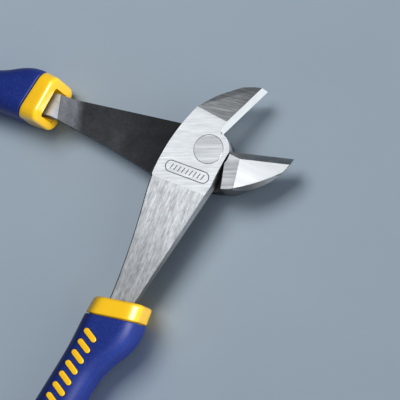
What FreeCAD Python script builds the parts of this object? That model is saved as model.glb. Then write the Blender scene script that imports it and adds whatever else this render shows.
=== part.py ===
"""Diagonal cutting pliers, 200 mm class, with a lap joint, a flush rivet and two-shot grips.

Row frame, millimetres: the origin is on the pivot axis at the flat back face of the joint, +X runs
forward along the line that halves the open jaws, and +Z comes out of the front face.
Each lever is drawn in its own closed frame first: the pivot at the origin, the cutting edge along +X,
the jaw on +Y, the arm on -Y, and z = 0 on the lap plane. It is then turned to the rest opening.
A side is "front" or "back": the front lever's joint lies over the back lever's.
"""

import FreeCAD, Part

import math
import os

from FreeCAD import Vector

SIDES = ("front", "back")

# ---- head and joint ----
HEAD_T = 11.5  # thickness of the ground head and joint
REST_OPENING = 53.4  # degrees between the cutting edges at rest
LAP_GAP = 0.05  # each lever stands this far off the lap plane
BOSS_R = 7.25  # round shoulder of the joint about the pivot
BOSS_SPAN = (-58.0, -1.5)  # degrees
SHOULDER_R = 7.6  # hollow in the jaw that the other lever's boss turns in
SHOULDER_SPAN = 36.5  # degrees
SHOULDER_TOP = (5.75, 16.0)  # the hollow's straight side runs to this plan point
RUNOUT_FROM = -49.8  # the lap recess runs out in an arc between these two
RUNOUT_TO = -56.6
RIVET_HEAD_R = 5.15
RIVET_SHANK_R = 3.6
RIVET_LAND = 0.5  # straight part of the rivet's head
RIVET_CONE = 1.5  # depth of the countersink below the land
RUN_CLEARANCE = 0.05  # between the rivet and the lever that turns on it

# ---- jaws ----
EDGE_GAP = 0.05  # each cutting edge stops this far from the centre line
JAW_ROOT_X = 7.3  # where the cutting edge starts
JAW_TIP_X = 28.8  # where it ends
EDGE_ROOT_Z = 4.1  # height of the cutting edge above the lap plane at its root
EDGE_FALL = 0.2125  # how much the edge and the front face fall per mm towards the tip
EDGE_BEVEL = {"front": 1.5, "back": 0.95}  # rise over run of the narrow bevel in front of the edge
ROOT_BEND_X = {"front": JAW_ROOT_X, "back": 11.5}  # the bevel bends up behind here
ROOT_FALL = {"front": 2.5, "back": 0.38}  # and falls this much per mm
BEVEL_START_X = 5.0
DEEP_START_X = 7.0
BACK_BEVEL = math.tan(math.radians(25))  # run over rise of the deep bevel behind the edge
BACK_FALL = 0.17  # how much the back face rises per mm towards the tip
BACK_FALL_FROM = 12.0
JAW_BACK = (8.6, 13.35)  # plan points of the jaw's outer arc: its start, middle and end
JAW_MIDDLE = {"front": (20.7, 9.3), "back": (18.0, 11.5)}
JAW_NOSE = (28.1, 1.9)
JAW_NOSE_END = (29.7, 0.0)  # the outer wall's own end, below the nose
WALL_FROM = 3.0  # height where the outer wall starts to lean
JAW_DRAFT = 2.4  # how far it leans in at the back face
WALL_LEAN = (-0.62, -0.78)  # direction of the lean at the arc's middle
# The line where the front face starts to slope: its inner and its outer plan point.
SLOPE_LINE = {"front": ((11.1, 1.9), (8.6, 13.1)), "back": ((11.25, 2.7), (10.15, 12.7))}
FACET_MIDDLE = (17.0, 10.25)  # the outer facet's upper border
FACET_END = (28.2, 4.4)
FACET_DROP = 1.6  # height of the facet
FACET_OVER = 0.5  # its cutter goes on past the border by this share of its height

# ---- arm ----
BACK_OF_HEAD = (-7.2, 12.4)  # plan points: the head's outer arc ends at the waist
WAIST = (-25.0, 6.6)
ARM_INNER = (-42.0, -1.75)
ARM_OUTER = (-23.7, -11.75)
ARM_SWELL = (-15.5, -10.5)
BELLY = (-8.5, -9.45)
BELLY_TO_BOSS = (-1.5, -7.3)
ARM_HALF_T = 3.2  # half thickness of the arm at the grip
RAMP_START = 15.3  # where the outer face starts to slope, measured along RAMP_DIR
RAMP_DIR = math.radians(180 + 20.9)
RAMP_LENGTH = 43.3
RAMP_BLEND = 100.0  # radius of the soft change from the flat to the slope

# ---- grips ----
HANDLE_DIR = math.radians(180 + 12.2)  # the grip's own direction in the closed frame
# The collar's front plane leans its outer side forward and tips its back edge forward, in degrees, and
# lies this far out. The seam between collar and cover leans too, and lies this far out.
COLLAR = {"front": (19.0, 0.0, 56.3), "back": (10.0, 5.4, 60.35)}
SEAM = {"front": (19.0, 62.5), "back": (14.0, 66.25)}
COLLAR_ROUND = 1.3
MOUTH_L, MOUTH_W, MOUTH_H = 18.0, 11.2, 9.6  # the pocket in the collar around the arm
MOUTH_CENTRE = 0.3
MOUTH_ROUND = 1.0
MOUTH_FLOOR = 1.0  # from the seam
SLEEVE_START = 50.0  # the core's sleeve is cut off inside the collar
SLEEVE_INSIDE = 2.0  # from the collar's front plane
SLEEVE_WALL = 1.7
SLEEVE_END = 157.5
SLEEVE_CORNER = 0.6
# Grip outline along the handle: position, centre line offset, half width, half height, corner radius.
GRIP = [
    (54.0, 0.45, 7.95, 8.9, 4.2),
    (60.0, 0.72, 8.68, 9.2, 4.3),
    (66.0, 1.27, 9.23, 9.4, 4.4),
    (70.5, 1.4, 9.25, 9.35, 4.6),
    (75.0, 1.02, 8.62, 9.15, 4.8),
    (80.6, 0.05, 7.4, 8.9, 4.9),
    (86.5, -0.62, 6.72, 8.7, 4.9),
    (95.0, -0.85, 6.65, 8.65, 4.9),
    (110.0, -0.72, 7.02, 8.8, 5.0),
    (125.0, -0.6, 7.3, 8.95, 5.1),
    (140.0, -1.2, 7.2, 8.75, 5.1),
    (152.0, -2.2, 6.8, 8.2, 4.9),
    (162.0, -3.3, 6.1, 7.2, 4.6),
    (169.5, -4.2, 5.1, 5.8, 4.0),
    (174.0, -4.7, 3.8, 4.2, 3.3),
    (176.3, -5.0, 2.2, 2.4, 2.0),
]
# Tang centre line along the handle: position, offset, half width.
TANG = [(60.0, 0.2, 4.2), (85.0, -0.5, 3.9), (110.0, -0.7, 3.6), (135.0, -1.0, 3.3), (154.0, -2.3, 2.9)]
TANG_ROUND = 2.2  # how far the tang's and the sleeve's rounded ends stand out

# ---- raised bars, on the tool's front of the front grip and on its back of the back grip ----
BAR_COUNT = 11
BAR_FIRST = 74.2
BAR_PITCH = 4.1
BAR_LENGTH = 5.8
BAR_WIDTH = 2.0
BAR_LEAN = math.radians(20)
BAR_CENTRE = -1.3
BAR_PROUD = 0.3
BAR_GAP = 0.15
BAR_ROOT, BAR_TOP = 1.0, 12.0  # heights between which the bars are drawn before they are trimmed

# ---- engraved mark: a plain oval with slanted ticks in it ----
MARK_CENTRE = (-10.6, 0.2)
MARK_TURN = -69.0
MARK_DEPTH = 0.2
MARK_LINE = 0.32
MARK_HALF_LENGTH, MARK_HALF_HEIGHT = 8.2, 2.15
TICKS_EACH_WAY = 4
TICK_PITCH = 1.45
TICK_LENGTH = 2.1
TICK_LEAN = -18.0

CUT = 220.0  # size of cutting blocks, larger than anything they cut
HALF = HEAD_T / 2


def handle_point(along, across, z=0.0):
    """A point in the closed frame from its place along and across the handle, outwards positive."""
    c, s = math.cos(HANDLE_DIR), math.sin(HANDLE_DIR)
    return Vector(along * c - across * s, along * s + across * c, z)


def plan(point):
    return Vector(point[0], point[1], 0)


def polar(radius, degrees):
    a = math.radians(degrees)
    return Vector(radius * math.cos(a), radius * math.sin(a), 0)


def line(a, b):
    return Part.LineSegment(a, b).toShape()


def arc(a, through, b):
    return Part.Arc(a, through, b).toShape()


def spline(points):
    curve = Part.BSplineCurve()
    curve.interpolate(points)
    return curve.toShape()


def prism(edges, low, high):
    """The region inside a closed chain of edges at z = 0, from z = low to z = high."""
    face = Part.Face(Part.Wire(edges))
    face.translate(Vector(0, 0, low))
    return face.extrude(Vector(0, 0, high - low))


def half_space(point, normal):
    """A block whose one face passes through point, with the material on the side of normal."""
    n = Vector(normal).normalize()
    block = Part.makeBox(2 * CUT, 2 * CUT, CUT, Vector(-CUT, -CUT, 0))
    turn = FreeCAD.Rotation(Vector(0, 0, 1), n)
    return block.transformed(FreeCAD.Placement(point, turn).toMatrix())


def beyond_x(x, y=-CUT):
    """Everything forward of x, and of y to the side."""
    return Part.makeBox(2 * CUT, 2 * CUT, 4 * CUT, Vector(x, y, -2 * CUT))


def edge_height(x):
    return EDGE_ROOT_Z - EDGE_FALL * (x - JAW_ROOT_X)


# ---------------------------------------------------------------- levers
def lever_outline(side):
    """Plan of a whole lever: jaw, joint, arm and tang."""
    root = Vector(JAW_ROOT_X, EDGE_GAP, 0)
    tip = Vector(JAW_TIP_X, EDGE_GAP, 0)
    tang_in = [handle_point(u, v - w) for u, v, w in TANG]
    tang_out = [handle_point(u, v + w) for u, v, w in reversed(TANG)]
    tang_end, tang_offset, _ = TANG[-1]
    boss_from, boss_to = BOSS_SPAN
    boss_start, boss_end = polar(BOSS_R, boss_from), polar(BOSS_R, boss_to)
    return [
        line(root, tip),
        line(tip, plan(JAW_NOSE)),
        arc(plan(JAW_NOSE), plan(JAW_MIDDLE[side]), plan(JAW_BACK)),
        arc(plan(JAW_BACK), plan(BACK_OF_HEAD), plan(WAIST)),
        arc(plan(WAIST), plan(ARM_INNER), tang_in[0]),
        spline(tang_in),
        arc(tang_in[-1], handle_point(tang_end + TANG_ROUND, tang_offset), tang_out[0]),
        spline(tang_out),
        line(tang_out[-1], plan(ARM_OUTER)),
        arc(plan(ARM_OUTER), plan(ARM_SWELL), plan(BELLY)),
        arc(plan(BELLY), plan(BELLY_TO_BOSS), boss_start),
        arc(boss_start, polar(BOSS_R, (boss_from + boss_to) / 2), boss_end),
        line(boss_end, root),
    ]


def lap_recess():
    """What the other lever's joint takes out of this one, on the side of -z, with its run-out."""
    rise = ARM_HALF_T + LAP_GAP
    run = RUNOUT_FROM - RUNOUT_TO
    radius = (run * run + rise * rise) / (2 * rise)
    turn = math.asin(run / radius) / 2
    start, end = Vector(RUNOUT_FROM, 0, LAP_GAP), Vector(RUNOUT_TO, 0, -ARM_HALF_T)
    drop = radius * (1 - math.cos(turn))
    middle = Vector(RUNOUT_FROM - radius * math.sin(turn), 0, LAP_GAP - drop)
    ahead, far = Vector(2 * SHOULDER_R, 0, LAP_GAP), Vector(-CUT, 0, -ARM_HALF_T)
    deep_ahead, deep_far = Vector(ahead.x, 0, -CUT), Vector(-CUT, 0, -CUT)
    profile = [
        line(deep_ahead, ahead),
        line(ahead, start),
        arc(start, middle, end),
        line(end, far),
        line(far, deep_far),
        line(deep_far, deep_ahead),
    ]
    block = Part.Face(Part.Wire(profile)).extrude(Vector(0, 2 * CUT, 0))
    block.translate(Vector(0, -CUT, 0))

    low, first = Vector(SHOULDER_R, -CUT, 0), Vector(SHOULDER_R, 0, 0)
    corner, top = polar(SHOULDER_R, SHOULDER_SPAN), plan(SHOULDER_TOP)
    far_top, far_low = Vector(-CUT, top.y, 0), Vector(-CUT, -CUT, 0)
    region = [
        line(low, first),
        arc(first, polar(SHOULDER_R, SHOULDER_SPAN / 2), corner),
        line(corner, top),
        line(top, far_top),
        line(far_top, far_low),
        line(far_low, low),
    ]
    return block.common(prism(region, -2 * CUT, 2 * CUT))


def outer_ramp():
    """What is ground off the outer face (+z) behind the joint, down to the arm's thickness."""
    angle = math.atan((HALF - ARM_HALF_T) / RAMP_LENGTH)
    x0 = RAMP_START - RAMP_BLEND * math.tan(angle / 2)

    def on_blend(a):
        return Vector(x0 + RAMP_BLEND * math.sin(a), 0, HALF - RAMP_BLEND * (1 - math.cos(a)))

    foot, far = Vector(RAMP_START + RAMP_LENGTH, 0, ARM_HALF_T), Vector(CUT, 0, ARM_HALF_T)
    far_top, near_top = Vector(CUT, 0, CUT), Vector(x0, 0, CUT)
    profile = [
        arc(on_blend(0), on_blend(angle / 2), on_blend(angle)),
        line(on_blend(angle), foot),
        line(foot, far),
        line(far, far_top),
        line(far_top, near_top),
        line(near_top, on_blend(0)),
    ]
    block = Part.Face(Part.Wire(profile)).extrude(Vector(0, 4 * CUT, 0))
    block.translate(Vector(0, -2 * CUT, 0))
    block.rotate(Vector(0, 0, 0), Vector(0, 0, 1), math.degrees(RAMP_DIR))
    return block


def edge_bevels(side):
    """The narrow bevel in front of the cutting edge, and the deep one behind it."""
    edge_point = Vector(JAW_ROOT_X, EDGE_GAP, EDGE_ROOT_Z)
    bend_x, rise = ROOT_BEND_X[side], EDGE_BEVEL[side]
    bend_point = Vector(bend_x, EDGE_GAP, edge_height(bend_x))
    narrow = beyond_x(BEVEL_START_X, EDGE_GAP).common(half_space(edge_point, Vector(EDGE_FALL, -rise, 1)))
    narrow = narrow.common(half_space(bend_point, Vector(ROOT_FALL[side], -rise, 1)))

    down_the_edge = Vector(1, 0, -EDGE_FALL)
    deep = half_space(edge_point, Vector(0, BACK_BEVEL, -1).cross(down_the_edge))
    return narrow, deep.common(beyond_x(DEEP_START_X))


def slope_of_face(side):
    """(height at a plan point, upward normal) of the sloping front face."""
    inner, outer = plan(SLOPE_LINE[side][0]), plan(SLOPE_LINE[side][1])
    along = (outer - inner).normalize()
    downhill = Vector(along.y, -along.x, 0)
    steep = EDGE_FALL / downhill.x

    def height(x, y):
        return HALF - steep * (Vector(x, y, 0) - inner).dot(downhill)

    return height, Vector(downhill.x * steep, downhill.y * steep, 1)


def outside(levels):
    """What lies outside the jaw's outer wall. Each level is a height function and an arc in plan."""
    ahead, low, high = 45, -20, 30
    kept, whole = [], []
    for height, (a, b, c) in levels:
        def at(x, y):
            return Vector(x, y, height(x, y))

        start, middle, end = at(*a), at(*b), at(*c)
        end_low, start_low = at(c[0], low), at(a[0], low)
        sides = [line(end, end_low), line(end_low, start_low), line(start_low, start)]
        kept.append(Part.Wire([arc(start, middle, end)] + sides))
        box = [at(a[0], low), at(ahead, low), at(ahead, high), at(a[0], high)]
        whole.append(Part.makePolygon(box + box[:1]))
    return Part.makeLoft(whole, True, True).cut(Part.makeLoft(kept, True, True))


def jaw_wall(side):
    """The lean of the jaw's outer wall towards the back, and the curved facet above it."""
    x, y = JAW_MIDDLE[side]
    nose_x, nose_y = JAW_NOSE_END
    below = HALF + 1.0
    lean = JAW_DRAFT * (WALL_FROM + below) / (WALL_FROM + HALF)
    leaned = (JAW_BACK, (x + WALL_LEAN[0] * lean, y + WALL_LEAN[1] * lean), (nose_x - lean, nose_y))
    wall = outside([
        (lambda u, v: -below, leaned),
        (lambda u, v: WALL_FROM, (JAW_BACK, (x, y), JAW_NOSE_END)),
    ])
    height, _ = slope_of_face(side)
    (mx, my), (ex, ey) = FACET_MIDDLE, FACET_END
    inside = (JAW_BACK, (mx + FACET_OVER * (mx - x), my + FACET_OVER * (my - y)),
              (ex, ey + FACET_OVER * (ey - JAW_NOSE[1])))
    facet = outside([
        (lambda u, v: height(u, v) - FACET_DROP, (JAW_BACK, (x, y), (JAW_TIP_X, 0.0))),
        (lambda u, v: height(u, v) + FACET_OVER * FACET_DROP, inside),
    ])
    return wall, facet


def jaw_cuts(side):
    """All that is ground off the jaw."""
    _, normal = slope_of_face(side)
    x, y = SLOPE_LINE[side][0]
    front_face = half_space(Vector(x, y, HALF), normal).common(beyond_x(BEVEL_START_X))
    back_face = half_space(Vector(BACK_FALL_FROM, 0, -HALF), Vector(BACK_FALL, 0, -1))
    back_face = back_face.common(beyond_x(BEVEL_START_X))
    return [front_face, back_face, *edge_bevels(side), *jaw_wall(side)]


def rivet_profile(grow):
    """The rivet, larger by grow all round except at its two ends."""
    head, shank = RIVET_HEAD_R + grow, RIVET_SHANK_R + grow
    land, cone = RIVET_LAND, RIVET_LAND + RIVET_CONE
    points = [
        Vector(0, 0, -HALF),
        Vector(head, 0, -HALF),
        Vector(head, 0, -HALF + land),
        Vector(shank, 0, -HALF + cone),
        Vector(shank, 0, HALF - cone),
        Vector(head, 0, HALF - land),
        Vector(head, 0, HALF),
        Vector(0, 0, HALF),
    ]
    face = Part.Face(Part.makePolygon(points + points[:1]))
    return face.revolve(Vector(0, 0, 0), Vector(0, 0, 1), 360)


def stadium(half_length, half_height, low, high):
    """A bar with round ends, along x."""
    a, b = half_length - half_height, half_height
    edges = [
        line(Vector(-a, b, 0), Vector(a, b, 0)),
        arc(Vector(a, b, 0), Vector(a + b, 0, 0), Vector(a, -b, 0)),
        line(Vector(a, -b, 0), Vector(-a, -b, 0)),
        arc(Vector(-a, -b, 0), Vector(-a - b, 0, 0), Vector(-a, b, 0)),
    ]
    return prism(edges, low, high)


def engraved_mark():
    """A plain engraved oval with slanted ticks inside it, on the joint's front face."""
    low, high = HALF - MARK_DEPTH, HALF + 1
    oval = stadium(MARK_HALF_LENGTH, MARK_HALF_HEIGHT, low, high)
    inner = stadium(MARK_HALF_LENGTH - MARK_LINE, MARK_HALF_HEIGHT - MARK_LINE, low, high)
    ticks = []
    for k in range(-TICKS_EACH_WAY, TICKS_EACH_WAY + 1):
        tick = Part.makeBox(MARK_LINE, TICK_LENGTH, high - low, Vector(-MARK_LINE / 2, -TICK_LENGTH / 2, low))
        tick.rotate(Vector(0, 0, 0), Vector(0, 0, 1), TICK_LEAN)
        tick.translate(Vector(TICK_PITCH * k, 0, 0))
        ticks.append(tick)
    mark = oval.cut(inner).fuse(ticks)
    mark.rotate(Vector(0, 0, 0), Vector(0, 0, 1), MARK_TURN)
    mark.translate(plan(MARK_CENTRE))
    return mark


def make_lever(side):
    """One forged lever in the closed frame; the back one is turned over by mirroring at the end."""
    blank = prism(lever_outline(side), -HALF, HALF)
    recess, ramp = lap_recess(), outer_ramp()
    if side == "back":
        recess = recess.mirror(Vector(0, 0, 0), Vector(0, 0, 1))
        ramp = ramp.mirror(Vector(0, 0, 0), Vector(0, 0, 1))
    solid = blank.cut([recess, ramp])
    for block in jaw_cuts(side):
        solid = solid.cut(block)
    solid = solid.cut(rivet_profile(RUN_CLEARANCE if side == "front" else 0.0))
    if side == "front":
        solid = solid.cut(engraved_mark())
    return solid.removeSplitter()


# ---------------------------------------------------------------- grips
def grip_section(u, centre, half_w, half_h, radius, grow=0.0):
    """A rounded rectangle across the handle."""
    w, h = half_w + grow, half_h + grow
    flat = 0.15
    r = min(radius + grow, w - flat, h - flat)
    k = r * (1 - math.sqrt(0.5))

    def at(v, z):
        return handle_point(u, centre + v, z)

    edges = [
        line(at(-w + r, h), at(w - r, h)),
        arc(at(w - r, h), at(w - k, h - k), at(w, h - r)),
        line(at(w, h - r), at(w, -h + r)),
        arc(at(w, -h + r), at(w - k, -h + k), at(w - r, -h)),
        line(at(w - r, -h), at(-w + r, -h)),
        arc(at(-w + r, -h), at(-w + k, -h + k), at(-w, -h + r)),
        line(at(-w, -h + r), at(-w, h - r)),
        arc(at(-w, h - r), at(-w + k, h - k), at(-w + r, h)),
    ]
    return Part.Wire(edges)


def grip_body(grow=0.0):
    return Part.makeLoft([grip_section(*row, grow=grow) for row in GRIP], True, False)


def beyond(lean, tip, offset):
    """Everything behind a leaning plane across the handle, on the side of the handle's end."""
    across = handle_point(math.cos(math.radians(lean)), math.sin(math.radians(lean)))
    normal = across - Vector(0, 0, math.tan(math.radians(tip)))
    return half_space(across * offset, normal)


def grip_bars(grow, low, high):
    """The slanted round-ended bars on one face of a grip, from z = low to z = high."""
    bars = []
    lean = math.degrees(HANDLE_DIR) + 90 - math.degrees(BAR_LEAN)
    for k in range(BAR_COUNT):
        bar = stadium(BAR_LENGTH / 2 + grow, BAR_WIDTH / 2 + grow, low, high)
        bar.rotate(Vector(0, 0, 0), Vector(0, 0, 1), lean)
        bar.translate(handle_point(BAR_FIRST + k * BAR_PITCH, BAR_CENTRE))
        bars.append(bar)
    return bars


def sleeve():
    """The core's sleeve around the tang, solid until the tang is cut out of it."""
    rows = [(u, v, w + SLEEVE_WALL) for u, v, w in TANG]
    rows[0] = (SLEEVE_START, *rows[0][1:])
    inner = [handle_point(u, v - w) for u, v, w in rows]
    outer = [handle_point(u, v + w) for u, v, w in reversed(rows)]
    _, v, w = rows[-1]
    corner_in = handle_point(SLEEVE_END, v - w + SLEEVE_CORNER)
    corner_out = handle_point(SLEEVE_END, v + w - SLEEVE_CORNER)
    outline = [
        line(outer[-1], inner[0]),
        spline(inner),
        line(inner[-1], corner_in),
        arc(corner_in, handle_point(SLEEVE_END + TANG_ROUND, v), corner_out),
        line(corner_out, outer[0]),
        spline(outer),
    ]
    half_t = ARM_HALF_T + SLEEVE_WALL
    return prism(outline, -half_t, half_t)


def collar_mouth(seam_offset):
    """The pocket that the arm goes into, with rounded long edges."""
    corner = Vector(-MOUTH_L / 2, -MOUTH_W / 2, -MOUTH_H / 2)
    mouth = Part.makeBox(MOUTH_L, MOUTH_W, MOUTH_H, corner)
    long_edges = [e for e in mouth.Edges if abs(e.Vertexes[0].X - e.Vertexes[-1].X) > 1]
    mouth = mouth.makeFillet(MOUTH_ROUND, long_edges)
    mouth.rotate(Vector(0, 0, 0), Vector(0, 0, 1), math.degrees(HANDLE_DIR))
    mouth.translate(handle_point(seam_offset + MOUTH_FLOOR - MOUTH_L / 2, MOUTH_CENTRE))
    return mouth


def make_grip(lever, side):
    """(core, cover): the hard core with its collar and bars, and the soft cover moulded over it."""
    lean, tip, offset = COLLAR[side]
    seam_lean, seam_offset = SEAM[side]
    body = grip_body()
    tail = beyond(seam_lean, 0.0, seam_offset)
    collar = body.common(beyond(lean, tip, offset)).cut(tail)
    plane = min((f for f in collar.Faces if f.Surface.TypeId == "Part::GeomPlane"),
                key=lambda f: f.CenterOfMass.dot(handle_point(1, 0)))
    collar = collar.makeFillet(COLLAR_ROUND, plane.Edges)
    inner = sleeve()
    inner_front = inner.common(beyond(lean, tip, offset + SLEEVE_INSIDE))
    low, high = (BAR_ROOT, BAR_TOP) if side == "front" else (-BAR_TOP, -BAR_ROOT)
    tall = grip_body(BAR_PROUD)
    bars = [bar.common(tall) for bar in grip_bars(0.0, low, high)]
    core = collar.fuse([inner_front] + bars).cut([collar_mouth(seam_offset), lever]).removeSplitter()
    cover = body.common(tail).cut([inner] + grip_bars(BAR_GAP, low, high))
    return core, cover


# ---------------------------------------------------------------- assembly
def place(shape, side):
    """From the closed frame to the row frame, at the rest opening."""
    moved, turn = shape.copy(), REST_OPENING / 2
    if side == "back":
        moved = moved.mirror(Vector(0, 0, 0), Vector(0, 1, 0))
        turn = -turn
    moved.rotate(Vector(0, 0, 0), Vector(0, 0, 1), turn)
    moved.translate(Vector(0, 0, HALF))
    return moved


def write(name, shape):
    print(name, "solids", len(shape.Solids), "valid", shape.isValid(), "volume", round(shape.Volume, 1))
    out = shape.Solids[0] if len(shape.Solids) == 1 else shape
    out.exportStep(os.path.join("parts", name + ".step"))


def main():
    os.makedirs("parts", exist_ok=True)
    for side in SIDES:
        lever = make_lever(side)
        core, cover = make_grip(lever, side)
        write(side + "_lever", place(lever, side))
        write(side + "_grip_core", place(core, side))
        write(side + "_grip_cover", place(cover, side))
    write("pivot_rivet", place(rivet_profile(0.0), "front"))


main()
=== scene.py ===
"""Diagonal cutting pliers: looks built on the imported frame. Metres, in the CAD's frame.

Each half is drawn in its own closed frame: the pivot at the origin, the cutting edge along +X, the jaw on
+Y, z = 0 on the lap plane. Lengths there are in millimetres.
"""

import math

import bmesh
import bpy
from mathutils import Matrix, Vector


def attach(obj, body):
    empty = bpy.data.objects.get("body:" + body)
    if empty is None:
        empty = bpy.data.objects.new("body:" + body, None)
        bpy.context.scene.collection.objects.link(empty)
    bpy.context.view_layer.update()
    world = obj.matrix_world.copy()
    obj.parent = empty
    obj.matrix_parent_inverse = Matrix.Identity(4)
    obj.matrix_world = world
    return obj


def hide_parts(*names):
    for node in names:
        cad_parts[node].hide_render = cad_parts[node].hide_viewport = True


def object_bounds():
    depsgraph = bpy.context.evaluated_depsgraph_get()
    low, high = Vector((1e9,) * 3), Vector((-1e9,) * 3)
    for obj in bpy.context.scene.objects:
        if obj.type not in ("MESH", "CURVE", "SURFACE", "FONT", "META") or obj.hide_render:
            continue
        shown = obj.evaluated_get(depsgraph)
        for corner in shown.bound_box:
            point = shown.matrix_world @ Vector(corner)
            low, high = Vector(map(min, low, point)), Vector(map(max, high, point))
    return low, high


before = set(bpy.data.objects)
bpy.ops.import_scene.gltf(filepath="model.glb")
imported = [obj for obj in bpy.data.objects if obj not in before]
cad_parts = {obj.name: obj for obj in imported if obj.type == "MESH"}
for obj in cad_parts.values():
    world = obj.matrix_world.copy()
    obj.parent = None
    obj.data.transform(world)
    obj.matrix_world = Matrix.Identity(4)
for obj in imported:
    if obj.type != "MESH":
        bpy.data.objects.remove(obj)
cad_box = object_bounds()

MM = 0.001
MID = 5.75  # mm from the joint's back face to the lap plane, and from there to its front face
OPEN = 53.4  # degrees between the cutting edges at rest
ARM_LEAN = 20.9  # degrees between the jaw's line, carried on past the pivot, and the arm's
HANDLE = math.radians(180 + 12.2)  # the handle's direction
HC, HS = math.cos(HANDLE), math.sin(HANDLE)
PHOTO_RIGHT = math.radians(-22.19)  # the photo's horizontal in the row frame


def half_matrix(front):
    """From a half's closed frame, in mm, to the row frame, in metres."""
    turn = Matrix.Rotation(math.radians(OPEN / 2 if front else -OPEN / 2), 4, "Z")
    flip = Matrix.Diagonal((1, 1 if front else -1, 1, 1))
    return Matrix.Scale(MM, 4) @ Matrix.Translation((0, 0, MID)) @ turn @ flip


# ---------------------------------------------------------------- materials
# The height that each bump stands for, in metres.
SCRATCH, SCALE, HARD_GRAIN, SOFT_GRAIN = 0.00004, 0.00006, 0.00004, 0.00008


def material(name):
    m = bpy.data.materials.new(name)
    m.use_nodes = True
    nt = m.node_tree
    return m, nt, nt.nodes["Principled BSDF"]


def node(nt, kind, **settings):
    n = nt.nodes.new(kind)
    for k, v in settings.items():
        setattr(n, k, v)
    return n


def coords(nt, angle=0.0, scale=(1, 1, 1)):
    """Object coordinates turned about Z so that X runs along the brushing, then scaled."""
    tc = node(nt, "ShaderNodeTexCoord")
    turn = node(nt, "ShaderNodeMapping")
    turn.inputs["Rotation"].default_value = (0, 0, -angle)
    size = node(nt, "ShaderNodeMapping")
    size.inputs["Scale"].default_value = scale
    nt.links.new(tc.outputs["Object"], turn.inputs["Vector"])
    nt.links.new(turn.outputs["Vector"], size.inputs["Vector"])
    return size.outputs["Vector"]


def noise(nt, vector, scale, detail=4.0, rough=0.6):
    n = node(nt, "ShaderNodeTexNoise")
    n.inputs["Scale"].default_value = scale
    n.inputs["Detail"].default_value = detail
    n.inputs["Roughness"].default_value = rough
    nt.links.new(vector, n.inputs["Vector"])
    return n.outputs["Fac"]


def ramp(nt, fac, stops):
    """A colour ramp between two stops, each (position, value or colour)."""
    r = node(nt, "ShaderNodeValToRGB")
    for el, (p, c) in zip(r.color_ramp.elements, stops):
        el.position = p
        el.color = (c, c, c, 1) if isinstance(c, (int, float)) else (*c, 1)
    nt.links.new(fac, r.inputs["Fac"])
    return r.outputs["Color"]


def mix(nt, a, b, fac, blend="MIX"):
    m = node(nt, "ShaderNodeMix", data_type="RGBA", blend_type=blend)
    for socket, value in ((m.inputs["Factor"], fac), (m.inputs["A"], a), (m.inputs["B"], b)):
        if hasattr(value, "is_linked"):
            nt.links.new(value, socket)
        elif isinstance(value, (int, float)):
            socket.default_value = value
        else:
            socket.default_value = (*value, 1)
    return m.outputs["Result"]


def bump(nt, bsdf, height, strength, distance):
    b = node(nt, "ShaderNodeBump")
    b.inputs["Strength"].default_value = strength
    b.inputs["Distance"].default_value = distance
    nt.links.new(height, b.inputs["Height"])
    nt.links.new(b.outputs["Normal"], bsdf.inputs["Normal"])


def fade(nt, colour, angle, start, end, low, high=1.0):
    """Multiplies a colour by high at start and low at end, two places along angle, in mm."""
    sep = node(nt, "ShaderNodeSeparateXYZ")
    nt.links.new(coords(nt, angle), sep.inputs[0])
    ease = node(nt, "ShaderNodeMapRange", interpolation_type="SMOOTHSTEP")
    values = (start * MM, end * MM, high, low)
    for k, v in zip(("From Min", "From Max", "To Min", "To Max"), values):
        ease.inputs[k].default_value = v
    nt.links.new(sep.outputs["X"], ease.inputs["Value"])
    return mix(nt, colour, ramp(nt, ease.outputs["Result"], [(0.0, 0.0), (1.0, 1.0)]), 1.0, "MULTIPLY")


def brushed(name, dark, light, rough, angle, fine, stretch, depth, coarse, grain=0.0, spread=0.2, fades=(),
            metal=1.0):
    """Ground steel: long fine scratches along angle, over a broader cloudy variation and a short grain.

    fine is the scratches' scale, stretch their length over their width, and depth the strength of their
    bump. coarse and grain are the shares of the clouds and of the short grain. The colour goes from dark
    to light within spread of the noise's middle.
    """
    m, nt, bsdf = material(name)
    line = noise(nt, coords(nt, angle, (1.0 / stretch, 1.0, 1.0 / stretch)), fine, 6.0, 0.7)
    cloud = noise(nt, coords(nt, angle, (0.35, 1.0, 1.0)), 160.0, 3.0, 0.55)
    both = mix(nt, line, cloud, coarse)
    if grain:
        both = mix(nt, both, noise(nt, coords(nt, angle, (0.22, 1.0, 1.0)), 1500.0, 5.0, 0.75), grain)
    colour = ramp(nt, both, [(0.5 - spread, dark), (0.5 + spread, light)])
    for f in fades:
        colour = fade(nt, colour, *f)
    nt.links.new(colour, bsdf.inputs["Base Color"])
    nt.links.new(ramp(nt, line, [(0.25, rough + 0.1), (0.75, rough - 0.07)]), bsdf.inputs["Roughness"])
    bsdf.inputs["Metallic"].default_value = metal
    bump(nt, bsdf, line, depth, SCRATCH)
    return m


def oxide(name, dark, light, rough, fades=()):
    """Unground forged steel under a thin dark oxide."""
    m, nt, bsdf = material(name)
    v = coords(nt)
    speck = noise(nt, v, 900.0, 6.0, 0.7)
    cloud = noise(nt, v, 90.0, 4.0, 0.6)
    both = mix(nt, speck, cloud, 0.55)
    colour = ramp(nt, both, [(0.41, dark), (0.61, light)])
    for f in fades:
        colour = fade(nt, colour, *f)
    nt.links.new(colour, bsdf.inputs["Base Color"])
    nt.links.new(ramp(nt, cloud, [(0.3, rough + 0.08), (0.7, rough - 0.06)]), bsdf.inputs["Roughness"])
    bsdf.inputs["Metallic"].default_value = 0.55
    bump(nt, bsdf, speck, 0.35, SCALE)
    return m


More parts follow.
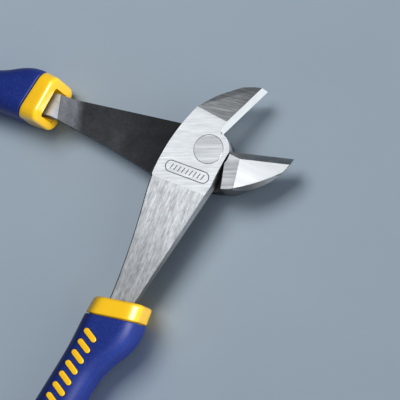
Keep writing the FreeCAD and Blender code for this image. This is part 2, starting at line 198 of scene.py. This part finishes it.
def hard_yellow():
    m, nt, bsdf = material("hard_yellow")
    v = coords(nt)
    cloud = noise(nt, v, 60.0, 3.0, 0.5)
    grain = noise(nt, v, 2600.0, 2.0, 0.5)
    body = ramp(nt, cloud, [(0.3, (0.94, 0.53, 0.004)), (0.7, (1.0, 0.60, 0.007))])
    nt.links.new(body, bsdf.inputs["Base Color"])
    nt.links.new(ramp(nt, cloud, [(0.3, 0.40), (0.7, 0.33)]), bsdf.inputs["Roughness"])
    bsdf.inputs["Subsurface Weight"].default_value = 0.12
    bsdf.inputs["Subsurface Radius"].default_value = (0.002, 0.0012, 0.0004)
    bsdf.inputs["Specular IOR Level"].default_value = 0.5
    bsdf.inputs["Coat Weight"].default_value = 1.0
    bsdf.inputs["Coat Roughness"].default_value = 0.22
    bump(nt, bsdf, grain, 0.12, HARD_GRAIN)
    return m


def soft_blue():
    m, nt, bsdf = material("soft_blue")
    v = coords(nt)
    grain = noise(nt, v, 2200.0, 3.0, 0.6)
    speck = noise(nt, v, 1700.0, 2.0, 0.5)
    cloud = noise(nt, v, 70.0, 3.0, 0.5)
    body = ramp(nt, cloud, [(0.3, (0.007, 0.019, 0.17)), (0.7, (0.010, 0.029, 0.215))])
    col = mix(nt, body, (0.05, 0.09, 0.42), ramp(nt, speck, [(0.52, 0.0), (0.75, 0.35)]))
    nt.links.new(col, bsdf.inputs["Base Color"])
    nt.links.new(ramp(nt, grain, [(0.3, 0.52), (0.7, 0.40)]), bsdf.inputs["Roughness"])
    bsdf.inputs["Specular IOR Level"].default_value = 0.4
    bump(nt, bsdf, grain, 0.4, SOFT_GRAIN)
    return m


# Directions in the row frame: each arm, each half's own cutting edge, and the marks on the front slope.
FRONT_ARM = math.radians(OPEN / 2 + 180 + ARM_LEAN)
BACK_ARM = math.radians(-OPEN / 2 + 180 - ARM_LEAN)
FRONT_X, BACK_X = math.radians(OPEN / 2), math.radians(-OPEN / 2)
SLOPE = PHOTO_RIGHT - math.radians(12)
# What fade takes: the direction, two places along it in mm, and the factor at the second.
ARM_FADE = (FRONT_X, -22.0, -52.0, 0.72)
SIDE_FADE = (FRONT_X, -22.0, -50.0, 0.42)
# Painted shade: the facets are coloured darker behind, away from the tip.
FACET_SHADE = (BACK_X, 13.0, 23.0, 1.0, 0.5)  # darker behind, full at the tip
# Painted sheen: the black oxide is coloured lighter on the run-out by the collar.
RUNOUT_SHEEN = (BACK_X, -52.0, -47.5, 0.24)  # bright by the collar
# Painted shade: the black oxide is coloured darker towards the joint.
LAP_SHADE = (BACK_X, -36.0, -16.0, 0.28)
MATS = {
    "head": brushed("ground_head", 0.50, 0.66, 0.33, PHOTO_RIGHT, fine=3000.0, stretch=26.0, depth=0.12,
                    coarse=0.3, grain=0.25, spread=0.13),
    "arm": brushed("ground_arm", 0.34, 0.70, 0.36, FRONT_ARM, fine=900.0, stretch=20.0, depth=0.5,
                   coarse=0.25, grain=0.6, spread=0.11, fades=[ARM_FADE]),
    "arm_back": brushed("ground_arm_back", 0.34, 0.70, 0.36, BACK_ARM, fine=900.0, stretch=20.0, depth=0.5,
                        coarse=0.25, grain=0.6, spread=0.11),
    # Painted shade: the front jaw's slope is ground steel coloured dark.
    "shaded_slope_front": brushed("ground_slope_front", 0.15, 0.34, 0.34, SLOPE, fine=3200.0, stretch=24.0,
                           depth=0.3, coarse=0.12, grain=0.15, spread=0.10),
    # Painted highlight: the back jaw's slope is ground steel coloured bright.
    "lit_slope_back": brushed("ground_slope_back", 0.74, 0.88, 0.33, BACK_ARM, fine=1000.0, stretch=20.0,
                          depth=0.12, coarse=0.4),
    "flat_back": brushed("ground_flat_back", 0.26, 0.48, 0.34, PHOTO_RIGHT, fine=1000.0, stretch=26.0,
                         depth=0.35, coarse=0.3, spread=0.12),
    "strip": brushed("ground_strip", (0.53, 0.57, 0.61), (0.64, 0.68, 0.72), 0.55, FRONT_X, fine=900.0,
                     stretch=3.0, depth=0.06, coarse=0.5, metal=0.25),
    # Painted shade: the back jaw's cutting bevel is coloured darker than the front one.
    "shaded_strip_back": brushed("ground_strip_back", 0.20, 0.42, 0.34, BACK_X, fine=1400.0, stretch=4.0, depth=0.1,
                          coarse=0.3, grain=0.4, spread=0.12),
    # Painted shade: the back jaw's outer wall is coloured dark.
    "shaded_wall_back": brushed("ground_wall_back", 0.10, 0.20, 0.42, BACK_X, fine=900.0, stretch=8.0, depth=0.2,
                         coarse=0.4),
    "side": brushed("ground_side", 0.56, 0.78, 0.46, FRONT_X, fine=900.0, stretch=8.0, depth=0.3, coarse=0.4,
                    grain=0.3, spread=0.15, fades=[SIDE_FADE]),
    # Painted shade: the arm's chamfers are coloured near black for the dark line along its edges.
    "chamfer": brushed("shaded_chamfer", 0.03, 0.07, 0.5, FRONT_X, fine=900.0, stretch=8.0, depth=0.2,
                       coarse=0.4),
    "facet": brushed("ground_facet", 0.44, 0.78, 0.36, BACK_ARM, fine=1000.0, stretch=10.0, depth=0.25,
                     coarse=0.4, grain=0.3, spread=0.14, fades=[FACET_SHADE]),
    "tang": brushed("ground_tang", (0.36, 0.38, 0.42), (0.50, 0.53, 0.58), 0.36, BACK_ARM, fine=900.0,
                    stretch=12.0, depth=0.3, coarse=0.4),
    "rivet": brushed("ground_rivet", 0.37, 0.54, 0.32, PHOTO_RIGHT, fine=1000.0, stretch=30.0, depth=0.22,
                     coarse=0.3, spread=0.13),
    # Black oxide, with painted shade towards the joint and a painted sheen on the run-out.
    "black": oxide("black_oxide_shade_and_sheen", (0.082, 0.088, 0.099), (0.170, 0.180, 0.205), 0.46,
                   [RUNOUT_SHEEN, LAP_SHADE]),
    "engrave": oxide("engraved", (0.10, 0.103, 0.11), (0.22, 0.225, 0.235), 0.6),
    "yellow": hard_yellow(),
    "blue": soft_blue(),
}


# ---------------------------------------------------------------- levers, from the CAD meshes
WELD = 2e-6  # m between two corners that are one
COPLANAR = math.radians(0.6)
ARM_FROM, CHAMFER = -18.0, 0.42  # mm: where the arm's chamfers start, and their width
LEVER_EDGE, RIVET_EDGE = 0.00015, 0.00018  # m: how far an edge's rounding reaches
EDGE_ANGLE = math.radians(28)  # the least angle between faces that makes an edge
# How far a face's normal points up or down (n.z) and forward (n.x).
FACING, LEVEL, LEANING, FORWARD = 0.9, 0.9995, 0.5, 0.05
CHAMFER_UP, FRONT_FACET_UP, BACK_FACET_UP, UPRIGHT = 0.4, 0.3, 0.2, 0.3
# Places that tell the faces apart, in mm in the closed frame.
LAP_TOP, LAP_END = 0.6, 8.0  # the front lever's lap face lies under and behind these
SLOPE_FROM = 9.0
JAW_FROM, BACK_FACET_FROM = 6.0, 5.0
STRIP_TOP = 4.0  # the strip along the cutting edge lies under this, across the jaw
RECESS_END, TANG_FROM = 7.7, -56.7  # the back lever's black recess and arm lie between these
MARK_FLOOR, MARK_END, HEAD_END = MID - 0.1, 13.0, 15.0  # a height, then two places down the arm


def clean_copy(name, source):
    """A welded copy of a CAD node's mesh, with its flat faces whole again."""
    me = bpy.data.meshes.new(name)
    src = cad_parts[source].data
    me.from_pydata([v.co[:] for v in src.vertices], [], [p.vertices[:] for p in src.polygons])
    bm = bmesh.new()
    bm.from_mesh(me)
    bmesh.ops.remove_doubles(bm, verts=bm.verts, dist=WELD)
    bmesh.ops.dissolve_degenerate(bm, edges=bm.edges, dist=WELD)
    bmesh.ops.dissolve_limit(bm, angle_limit=COPLANAR, verts=bm.verts, edges=bm.edges, delimit=set())
    bmesh.ops.recalc_face_normals(bm, faces=bm.faces)
    bm.to_mesh(me)
    bm.free()
    ob = bpy.data.objects.new(name, me)
    bpy.context.scene.collection.objects.link(ob)
    return ob


def chamfer_arm(ob):
    """A narrow real chamfer along both top edges of the front lever's arm."""
    inv = half_matrix(True).inverted()
    turn = inv.to_3x3()
    bm = bmesh.new()
    bm.from_mesh(ob.data)
    edges = []
    for e in bm.edges:
        if len(e.link_faces) == 2 and all((inv @ v.co).x < ARM_FROM for v in e.verts):
            heights = sorted((turn @ f.normal).normalized().z for f in e.link_faces)
            if heights[1] > FACING and abs(heights[0]) < UPRIGHT:
                edges.append(e)
    bmesh.ops.bevel(bm, geom=edges, offset=CHAMFER * MM, segments=1, affect="EDGES", clamp_overlap=False)
    bm.to_mesh(ob.data)
    bm.free()


def soften_edges(ob, width):
    """Small rounded edges, with the flat faces still shaded flat."""
    ob.data.polygons.foreach_set("use_smooth", [True] * len(ob.data.polygons))
    bev = ob.modifiers.new("edge", "BEVEL")
    bev.width = width
    bev.segments = 3
    bev.limit_method = "ANGLE"
    bev.angle_limit = EDGE_ANGLE
    ob.modifiers.new("normals", "WEIGHTED_NORMAL").keep_sharp = True


def paint(ob, front, rule):
    """Gives each face the material that rule picks from its centre and normal in the closed frame."""
    keys = list(MATS)
    for k in keys:
        ob.data.materials.append(MATS[k])
    inv = half_matrix(front).inverted()
    turn = inv.to_3x3()
    for p in ob.data.polygons:
        c = inv @ p.center
        n = (turn @ p.normal).normalized()
        p.material_index = keys.index(rule(c, n))


def down_arm(c):
    """How far a point is from the pivot along the arm."""
    angle = math.radians(180 + ARM_LEAN)
    return c.x * math.cos(angle) + c.y * math.sin(angle)


def on_strip(c, n):
    return n.z > LEANING and c.y < STRIP_TOP and c.x > JAW_FROM


def front_rule(c, n):
    if c.x < ARM_FROM and CHAMFER_UP < n.z < FACING:
        return "chamfer"
    if c.z < LAP_TOP and n.z < -LEANING and c.x < LAP_END:
        return "black"
    if n.z > FACING:
        if c.x > SLOPE_FROM and n.z < LEVEL and n.x > FORWARD:
            return "shaded_slope_front"
        if c.z < MARK_FLOOR and down_arm(c) < MARK_END:
            return "engrave"
        return "arm" if down_arm(c) > HEAD_END else "head"
    if on_strip(c, n):
        return "strip"
    return "facet" if n.z > FRONT_FACET_UP else "side"


def back_rule(c, n):
    if n.z > LEANING and c.x < RECESS_END:
        return "black" if c.x > TANG_FROM else "tang"
    if n.z > FACING:
        return "lit_slope_back" if n.x > FORWARD else "flat_back"
    if on_strip(c, n):
        return "shaded_strip_back"
    if n.z > BACK_FACET_UP and c.x > BACK_FACET_FROM:
        return "facet"
    if n.z < -LEANING and c.x > JAW_FROM:
        return "flat_back"
    if n.z < -FACING:
        return "arm_back" if down_arm(c) > HEAD_END else "head"
    # Painted shade: the back lever's side walls are coloured dark, black oxide by the joint and a darker wall
    # colour on the jaw.
    return "black" if c.x < JAW_FROM else "shaded_wall_back"


METAL_PIECES, PLASTIC_PIECES = [], []
for front in (True, False):
    side = "front" if front else "back"
    lever = clean_copy(side + "_lever_body", side + "_lever")
    if front:
        chamfer_arm(lever)
    paint(lever, front, front_rule if front else back_rule)
    soften_edges(lever, LEVER_EDGE)
    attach(lever, side + "_half")
    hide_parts(side + "_lever")
    METAL_PIECES.append(lever)

rivet = clean_copy("rivet_body", "pivot_rivet")
rivet.data.materials.append(MATS["rivet"])
soften_edges(rivet, RIVET_EDGE)
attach(rivet, "back_half")
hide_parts("pivot_rivet")
METAL_PIECES.append(rivet)


# ---------------------------------------------------------------- grips
# Rows of (along the handle, middle, half width, half height, corner radius), in mm.
GRIP = [
    (54.0, 0.45, 7.95, 8.9, 4.2), (60.0, 0.72, 8.68, 9.2, 4.3), (66.0, 1.27, 9.23, 9.4, 4.4),
    (70.5, 1.4, 9.25, 9.35, 4.6), (75.0, 1.02, 8.62, 9.15, 4.8), (80.6, 0.05, 7.4, 8.9, 4.9),
    (86.5, -0.62, 6.72, 8.7, 4.9), (95.0, -0.85, 6.65, 8.65, 4.9), (110.0, -0.72, 7.02, 8.8, 5.0),
    (125.0, -0.6, 7.3, 8.95, 5.1), (140.0, -1.2, 7.2, 8.75, 5.1), (152.0, -2.2, 6.8, 8.2, 4.9),
    (162.0, -3.3, 6.1, 7.2, 4.6), (169.5, -4.2, 5.1, 5.8, 4.0), (174.0, -4.7, 3.8, 4.2, 3.3),
    (176.3, -5.0, 2.2, 2.4, 2.0),
]
# Rows of (along the handle, middle, half width), in mm.
TANG = [(60.0, 0.2, 4.2), (85.0, -0.5, 3.9), (110.0, -0.7, 3.6), (135.0, -1.0, 3.3), (154.0, -2.3, 2.9)]
SLEEVE_WALL, SLEEVE_HEIGHT, SLEEVE_CORNER = 1.7, 4.9, 0.6  # round the tang, the height from the middle
MOUTH = (0.3, 5.6, 4.8, 1.0)  # the collar's pocket: middle, half width, half height, corner radius
# A plane across the handle is (lean, tip, offset): u cos(lean) + v sin(lean) - z tan(tip) = offset.
# Each half's planes for the collar's mouth and for the seam behind it; True is the front half.
COLLAR = {True: ((19.0, 0.0, 56.3), (19.0, 0.0, 62.5)), False: ((10.0, 5.4, 60.35), (14.0, 0.0, 66.25))}
SEAM = 0.18  # half the width of the groove between collar and cover
SEAM_DEPTH, CORE_STEP, COVER_STEP = 1.2, 1.8, 1.9  # in from the outline: the groove, then to the sleeve
POCKET_END, POCKET_ROW, MOUTH_ROW = 1.0, 0.3, 1.2  # behind the seam, forward of that, behind the mouth
CORE_STEP_AT, CORE_SLEEVE_AT = 0.4, 1.4  # behind the seam: where the core steps in, and is the sleeve
COVER_STEP_AT, COVER_SLEEVE_AT = 0.6, 1.9  # the same for the cover's inside
COLLAR_EDGE, SEAM_EDGE, MOUTH_EDGE, COVER_EDGE = 1.3, 0.4, 0.45, 0.5  # radii of the rims
SLEEVE_PLACES = (75, 85, 95, 105, 115, 125, 135, 145, 154, 157.0)  # along the handle
CAVITY_PLACES = (157.8, 150, 135, 120, 105, 90, 78)
COVER_ROWS, DOME_FROM, DOME_LENGTH, DOME_ROWS = 66, 174.5, 1.75, 8  # the cover's body and rounded end
LEAN_LOSS = 2.2  # the cover's rings lean as the seam does, and are upright from 1 / 2.2 of the way along
SHARP = math.radians(38)  # the least angle between faces that is shaded as an edge
CORNER, FLAT = 9, 5  # points on each corner and on each flat of a section
LEAST_FLAT = 0.05  # half the least flat of a section
LEAST_CORNER = 0.3
SETTLE = 4  # passes that settle a ring's places along and its outline, since each depends on the other


def smooth_rows(rows, u):
    """Values at u, on a smooth curve through the rows."""
    i = 0
    while i < len(rows) - 2 and u > rows[i + 1][0]:
        i += 1
    p = [rows[max(i - 1, 0)], rows[i], rows[i + 1], rows[min(i + 2, len(rows) - 1)]]
    span = p[2][0] - p[1][0]
    t = min(max((u - p[1][0]) / span, -0.5), 1.0)
    out = []
    for k in range(1, len(rows[0])):
        m1 = (p[2][k] - p[0][k]) / (p[2][0] - p[0][0]) * span
        m2 = (p[3][k] - p[1][k]) / (p[3][0] - p[1][0]) * span
        a, b = p[1][k], p[2][k]
        out.append(a + t * m1 + t * t * (3 * (b - a) - 2 * m1 - m2) + t * t * t * (2 * (a - b) + m1 + m2))
    return out


def rounded(c, w, h, r):
    """Points of a rounded rectangle, as (across, height), always in the same order and number."""
    r = min(r, w - LEAST_FLAT, h - LEAST_FLAT)
    pts = []
    for q, (sv, sz) in enumerate(((1, 1), (-1, 1), (-1, -1), (1, -1))):
        cv, cz = sv * (w - r), sz * (h - r)
        for k in range(CORNER):
            a = math.pi / 2 * (q + k / (CORNER - 1))
            pts.append((c + cv + r * math.cos(a), cz + r * math.sin(a)))
        nv, nz = ((-1, 1), (-1, -1), (1, -1), (1, 1))[q]
        end = (nv * (w - r) + (0, -r, 0, r)[q], nz * (h - r) + (r, 0, -r, 0)[q])
        start = (cv + (0, -r, 0, r)[q], cz + (r, 0, -r, 0)[q])
        for k in range(1, FLAT + 1):
            t = k / (FLAT + 1)
            pts.append((c + start[0] + t * (end[0] - start[0]), start[1] + t * (end[1] - start[1])))
    return pts


def along(plane, v, z):
    """How far along the handle a plane lies, at a place across it."""
    lean, tip = math.radians(plane[0]), math.radians(plane[1])
    return (plane[2] - v * math.sin(lean) + z * math.tan(tip)) / math.cos(lean)


def behind(plane, distance):
    return (plane[0], plane[1], plane[2] + distance)


def between(a, b, t):
    return tuple(p + t * (q - p) for p, q in zip(a, b))


def grip_ring(plane, shrink=0.0):
    """A ring of the grip's outline on a plane across the handle."""
    count = 4 * (CORNER + FLAT)
    us = [along(plane, 0, 0)] * count
    for _ in range(SETTLE):
        ring = []
        for k in range(count):
            c, w, h, r = smooth_rows(GRIP, us[k])
            v, z = rounded(c, w - shrink, h - shrink, max(r - shrink, LEAST_CORNER))[k]
            us[k] = along(plane, v, z)
            ring.append((us[k], v, z))
    return ring


def tang_ring(plane):
    """A ring of the hard core's sleeve around the tang."""
    c, w = smooth_rows(TANG, plane[2])
    return [(along(plane, v, z), v, z) for v, z in rounded(c, w + SLEEVE_WALL, SLEEVE_HEIGHT, SLEEVE_CORNER)]


def mouth_ring(plane, grow=0.0):
    """A ring of the pocket in the collar that the arm goes into."""
    c, w, h, r = MOUTH
    return [(along(plane, v, z), v, z) for v, z in rounded(c, w + grow, h + grow, r + grow)]


def skin(rings):
    """A closed mesh from rings of (along, across, height), in the closed frame."""
    n = len(rings[0])
    verts = [(u * HC - v * HS, u * HS + v * HC, z) for ring in rings for u, v, z in ring]
    faces = []
    for i in range(len(rings) - 1):
        for k in range(n):
            a, b = i * n + k, i * n + (k + 1) % n
            faces.append((a, b, b + n, a + n))
    faces.append(tuple(reversed(range(n))))
    faces.append(tuple(range((len(rings) - 1) * n, len(rings) * n)))
    return verts, faces


def make_object(name, parts, front, mat):
    """One object from several (vertices, faces) lists in the closed frame."""
    verts, faces = [], []
    for v, f in parts:
        base = len(verts)
        verts += v
        faces += [tuple(i + base for i in face) for face in f]
    me = bpy.data.meshes.new(name)
    me.from_pydata(verts, [], faces)
    me.transform(half_matrix(front))
    bm = bmesh.new()
    bm.from_mesh(me)
    bmesh.ops.recalc_face_normals(bm, faces=bm.faces)
    bm.to_mesh(me)
    bm.free()
    me.materials.append(mat)
    ob = bpy.data.objects.new(name, me)
    bpy.context.scene.collection.objects.link(ob)
    return ob


def rim(radius, steps):
    """(back, in) offsets round a quarter circle, from the front plane to the side."""
    return [(radius * (1 - math.sin(a)), radius * (1 - math.cos(a)))
            for a in [math.pi / 2 * (1 - k / steps) for k in range(steps + 1)]]


def collar_rings(mouth, seam):
    """The hard core: its pocket, collar and sleeve in one skin."""
    pocket_end = behind(seam, POCKET_END)
    rings = [mouth_ring(behind(pocket_end, d)) for d in (0.0, -POCKET_ROW)]
    rings += [mouth_ring(between(pocket_end, mouth, 0.5)), mouth_ring(behind(mouth, MOUTH_ROW))]
    for back, grow in reversed(rim(MOUTH_EDGE, 4)):
        rings.append(mouth_ring(behind(mouth, back), MOUTH_EDGE - grow))
    for back, inset in rim(COLLAR_EDGE, 7):
        rings.append(grip_ring(behind(mouth, back), inset))
    for t in (0.25, 0.5, 0.75):
        rings.append(grip_ring(between(behind(mouth, COLLAR_EDGE), behind(seam, -SEAM - SEAM_EDGE), t)))
    for back, inset in reversed(rim(SEAM_EDGE, 4)):
        rings.append(grip_ring(behind(seam, -SEAM - back), inset))
    rings.append(grip_ring(behind(seam, -SEAM), SEAM_DEPTH))
    rings.append(grip_ring(behind(seam, CORE_STEP_AT), CORE_STEP))
    rings.append(tang_ring(behind(seam, CORE_SLEEVE_AT)))
    rings += [tang_ring((0.0, 0.0, u)) for u in SLEEVE_PLACES]
    return rings


def cover_rings(seam):
    """The soft cover, inside and out, with its rounded end."""
    rings = [tang_ring((0.0, 0.0, u)) for u in CAVITY_PLACES]
    rings.append(tang_ring(behind(seam, COVER_SLEEVE_AT)))
    rings.append(grip_ring(behind(seam, COVER_STEP_AT), COVER_STEP))
    rings.append(grip_ring(behind(seam, SEAM), SEAM_DEPTH))
    for back, inset in rim(COVER_EDGE, 5):
        rings.append(grip_ring(behind(seam, SEAM + back), inset))
    first = seam[2] + SEAM + COVER_EDGE
    for k in range(1, COVER_ROWS + 1):
        t = k / COVER_ROWS
        lean = seam[0] * max(0.0, 1 - LEAN_LOSS * t)
        rings.append(grip_ring((lean, 0.0, first + t * (DOME_FROM - first))))
    c, w, h, r = smooth_rows(GRIP, DOME_FROM)
    for k in range(1, DOME_ROWS + 1):
        a = math.pi / 2 * k / (DOME_ROWS + 0.5)  # the last ring stays a little open, and its face closes it
        f, u = math.cos(a), DOME_FROM + DOME_LENGTH * math.sin(a)
        rings.append([(u, v, z) for v, z in rounded(c, w * f, h * f, r * f)])
    return rings


# The bars on the grip, in mm.
BARS = dict(count=11, first=74.2, pitch=4.1, length=5.8, width=2.0, lean=math.radians(20), centre=-1.3)
BAR_END = 12  # steps round each end
BAR_FOOT, BAR_STANDS = 4.6, 0.3  # where a bar starts inside the sleeve, and how far it stands proud
BAR_EDGE = [(0.3, 0.0), (0.18, -0.03), (0.08, -0.1), (0.02, -0.2), (0.0, -0.34)]  # (below the top, grow)
WINDOW_GAP, WINDOW_Z = 0.16, (5.0, 12.0)  # the room round a bar, and the cutter's lowest and highest z


def bar_loops(k, grow):
    """The outline of bar k as (along, across) points."""
    u = BARS["first"] + k * BARS["pitch"]
    r = BARS["width"] / 2
    half = BARS["length"] / 2 - r
    du, dv = half * math.sin(BARS["lean"]), half * math.cos(BARS["lean"])
    pts = []
    base = math.atan2(dv, du)
    for end, start in (((u + du, BARS["centre"] + dv), base - math.pi / 2),
                       ((u - du, BARS["centre"] - dv), base + math.pi / 2)):
        for j in range(BAR_END + 1):
            a = start + math.pi * j / BAR_END
            pts.append((end[0] + (r + grow) * math.cos(a), end[1] + (r + grow) * math.sin(a)))
    return pts


def bar_part(k, up):
    """A raised bar with a rounded top edge."""
    top = smooth_rows(GRIP, BARS["first"] + k * BARS["pitch"])[2] + BAR_STANDS
    levels = [(BAR_FOOT, 0.0)] + [(top - below, grow) for below, grow in BAR_EDGE]
    return skin([[(a, b, up * z) for a, b in bar_loops(k, grow)] for z, grow in levels])


def cut_windows(cover, up, front):
    """Cuts the openings that the bars stand in."""
    parts = []
    for k in range(BARS["count"]):
        parts.append(skin([[(a, b, up * z) for a, b in bar_loops(k, WINDOW_GAP)] for z in WINDOW_Z]))
    tool = make_object("cutter", parts, front, MATS["blue"])
    boo = cover.modifiers.new("windows", "BOOLEAN")
    boo.operation = "DIFFERENCE"
    boo.solver = "EXACT"
    boo.object = tool
    dg = bpy.context.evaluated_depsgraph_get()
    new = bpy.data.meshes.new_from_object(cover.evaluated_get(dg))
    cover.modifiers.clear()
    cover.data = new
    bpy.data.objects.remove(tool)


for front in (True, False):
    side = "front" if front else "back"
    mouth, seam = COLLAR[front]
    up = 1 if front else -1
    parts = [skin(collar_rings(mouth, seam))]
    parts += [bar_part(k, up) for k in range(BARS["count"])]
    core = make_object(side + "_grip_hard", parts, front, MATS["yellow"])
    cover = make_object(side + "_grip_soft", [skin(cover_rings(seam))], front, MATS["blue"])
    cut_windows(cover, up, front)
    for ob in (core, cover):
        me = ob.data
        me.polygons.foreach_set("use_smooth", [True] * len(me.polygons))
        me.set_sharp_from_angle(angle=SHARP)
        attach(ob, side + "_half")
    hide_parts(side + "_grip_core")
    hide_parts(side + "_grip_cover")
    PLASTIC_PIECES += [core, cover]


# ---------------------------------------------------------------- floor, camera, lights
FLOOR_SIZE = 6.0
bpy.ops.mesh.primitive_plane_add(size=FLOOR_SIZE, location=(0, 0, cad_box[0][2]))
floor = bpy.context.object
floor.name = "floor"
fm, nt, bsdf = material("floor_pale")
cloud = noise(nt, coords(nt), 9.0, 4.0, 0.55)
pale = ramp(nt, cloud, [(0.3, (0.45, 0.54, 0.63)), (0.7, (0.48, 0.575, 0.67))])
nt.links.new(pale, bsdf.inputs["Base Color"])
bsdf.inputs["Roughness"].default_value = 0.75
bsdf.inputs["Specular IOR Level"].default_value = 0.2
floor.data.materials.append(fm)

# The camera looks at a point on the lap plane, given in the photo's own directions from the pivot, in metres.
AIM = (-0.003414, -0.016527, 0)
TILT, AZIMUTH, DISTANCE = math.radians(16.6), math.radians(-42.916) + PHOTO_RIGHT, 0.3845
aim = Matrix.Rotation(PHOTO_RIGHT, 3, "Z") @ Vector(AIM)
aim.z = MID * MM
out = Vector((math.sin(TILT) * math.cos(AZIMUTH), math.sin(TILT) * math.sin(AZIMUTH), math.cos(TILT)))
right = Matrix.Rotation(PHOTO_RIGHT, 3, "Z") @ Vector((1, 0, 0))
right = (right - out * right.dot(out)).normalized()
cam = bpy.data.objects.new("camera", bpy.data.cameras.new("camera"))
cam.data.sensor_width = 36.0
cam.data.lens = 100.83
cam.data.clip_start = 0.01
rot = Matrix((right, out.cross(right), out)).transposed()
cam.matrix_world = Matrix.Translation(aim + out * DISTANCE) @ rot.to_4x4()
bpy.context.scene.collection.objects.link(cam)
bpy.context.scene.camera = cam


def group(name, members):
    c = bpy.data.collections.new(name)
    for ob in members:
        c.objects.link(ob)
    return c


GROUND = group("floor_only", [floor])
METAL = group("metal_only", METAL_PIECES)
PLASTIC = group("plastic_only", PLASTIC_PIECES)
TOOL = group("tool_only", METAL_PIECES + PLASTIC_PIECES)


def area(name, azimuth, off_zenith, distance, size, power, colour, lit, tall=1.0):
    """A soft light aimed at the pivot. Azimuth is from the photo's right, anticlockwise, in degrees.

    Its distance and size are in metres, its power in watts, and tall is its height over its width.
    """
    a, z = math.radians(azimuth) + PHOTO_RIGHT, math.radians(off_zenith)
    d = Vector((math.sin(z) * math.cos(a), math.sin(z) * math.sin(a), math.cos(z)))
    light = bpy.data.lights.new(name, "AREA")
    light.shape = "RECTANGLE"
    light.size, light.size_y = size, size * tall
    light.energy = power
    light.color = colour
    ob = bpy.data.objects.new(name, light)
    ob.location = d * distance
    ob.rotation_euler = d.to_track_quat("Z", "Y").to_euler()
    bpy.context.scene.collection.objects.link(ob)
    ob.light_linking.receiver_collection = lit


area("floor_key", 130, 27, 1.2, 0.60, 8.2, (1.0, 0.99, 0.97), GROUND)
area("floor_fill", -15, 55, 0.8, 0.60, 0.65, (0.97, 0.99, 1.0), GROUND)
area("softbox", 120, 12, 1.3, 0.90, 4.3, (0.955, 0.99, 1.03), METAL)
area("left_fill", 165, 55, 1.1, 0.50, 1.2, (0.95, 0.97, 1.0), METAL)
area("plastic_soft", 15, 42, 1.2, 0.90, 7.9, (1.0, 0.99, 0.96), PLASTIC)
area("right_key", -20, 57, 1.1, 0.40, 15.0, (1.0, 0.98, 0.93), TOOL, 2.1)

world = bpy.data.worlds.new("studio")
world.use_nodes = True
world.node_tree.nodes["Background"].inputs["Color"].default_value = (0.66, 0.78, 0.95, 1)
world.node_tree.nodes["Background"].inputs["Strength"].default_value = 0.16
bpy.context.scene.world = world
bpy.context.scene.view_settings.view_transform = "Standard"
